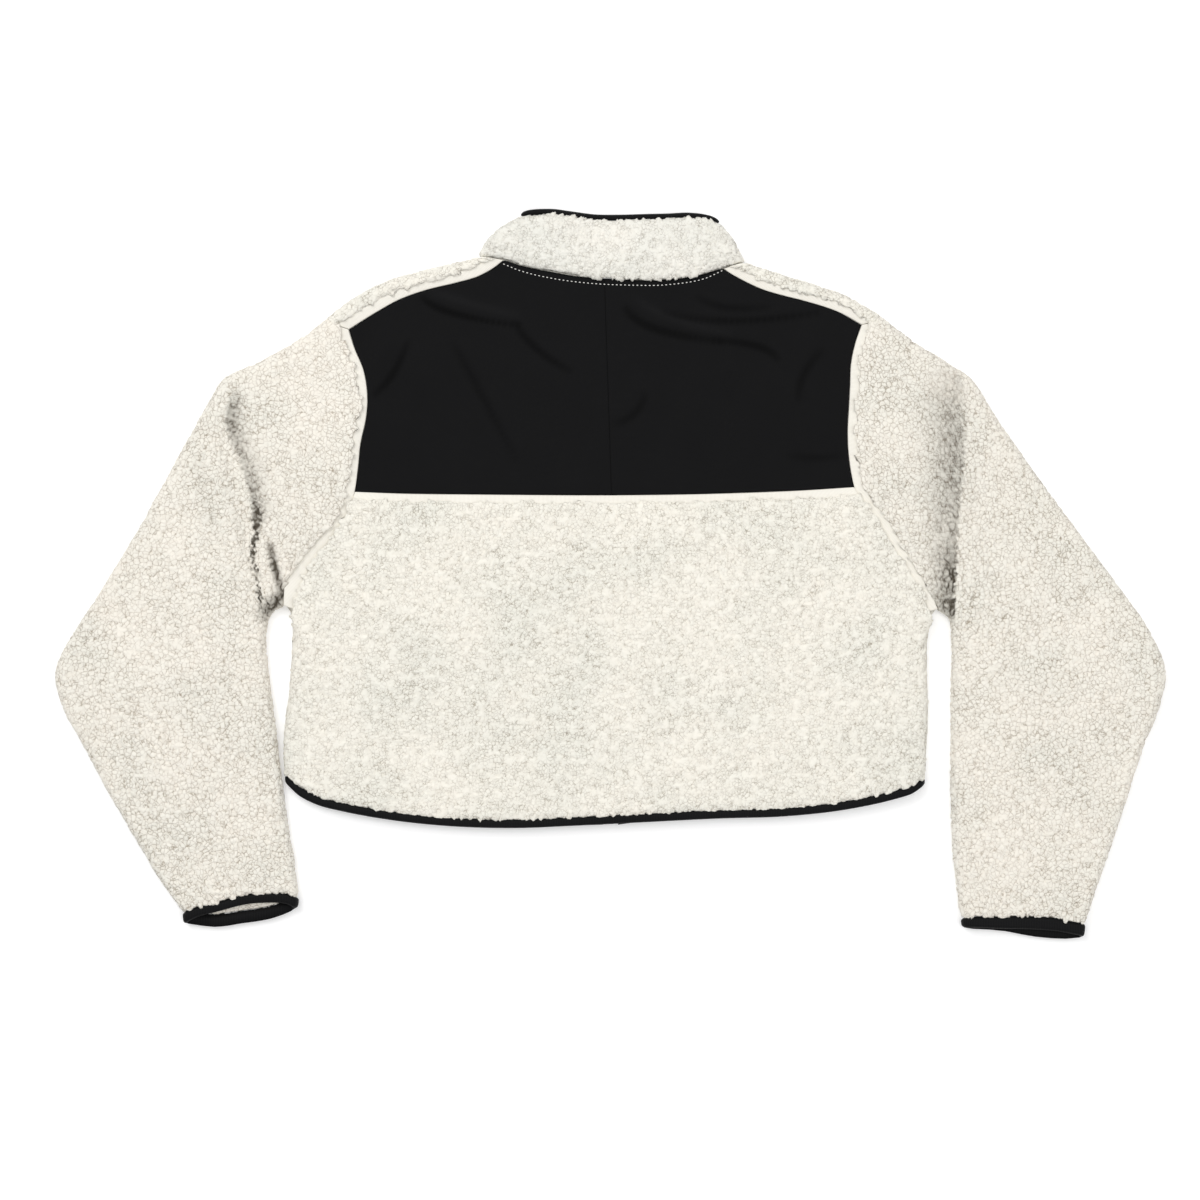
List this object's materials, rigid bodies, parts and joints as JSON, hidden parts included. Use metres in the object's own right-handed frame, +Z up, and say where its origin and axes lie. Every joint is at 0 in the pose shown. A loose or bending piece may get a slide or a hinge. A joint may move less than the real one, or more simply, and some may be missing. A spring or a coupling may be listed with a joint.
{
  "type": "cropped sherpa fleece jacket",
  "caption": "Cropped boxy jacket of cream sherpa fleece with a stand collar, a black woven back yoke, pile-free seam tapes and black edge bindings, laid flat with its back up.",
  "frame": {"origin": "on the surface that the jacket lies on, at the centre of its outline", "axes": "+X to the right and +Y from the hem to the collar as the laid jacket is seen from above, +Z up, out of the jacket's back"},
  "size_m": [0.9446, 0.6212, 0.0179],
  "materials": {
    "sherpa_fleece": "curled cream pile",
    "woven_cloth": "matte fine weave",
    "seam_tape": "matte knitted",
    "stretch_binding": "matte elastic",
    "zip_tape": "matte woven tape",
    "zip_metal": "satin black"
  },
  "bodies": {
    "root": {"back_body": "sherpa_fleece", "front_left": "sherpa_fleece", "front_right": "sherpa_fleece", "sleeve_left": "sherpa_fleece", "sleeve_right": "sherpa_fleece", "collar": "sherpa_fleece", "yoke_left": "woven_cloth", "yoke_right": "woven_cloth", "armhole_tape_left": "seam_tape", "armhole_tape_right": "seam_tape", "shoulder_tape_left": "seam_tape", "shoulder_tape_right": "seam_tape", "yoke_tape": "seam_tape", "collar_binding": "stretch_binding", "hem_binding": "stretch_binding", "cuff_binding_left": "stretch_binding", "cuff_binding_right": "stretch_binding", "front_zip": "zip_tape", "zip_slider": "zip_metal"}
  },
  "joints": []
}
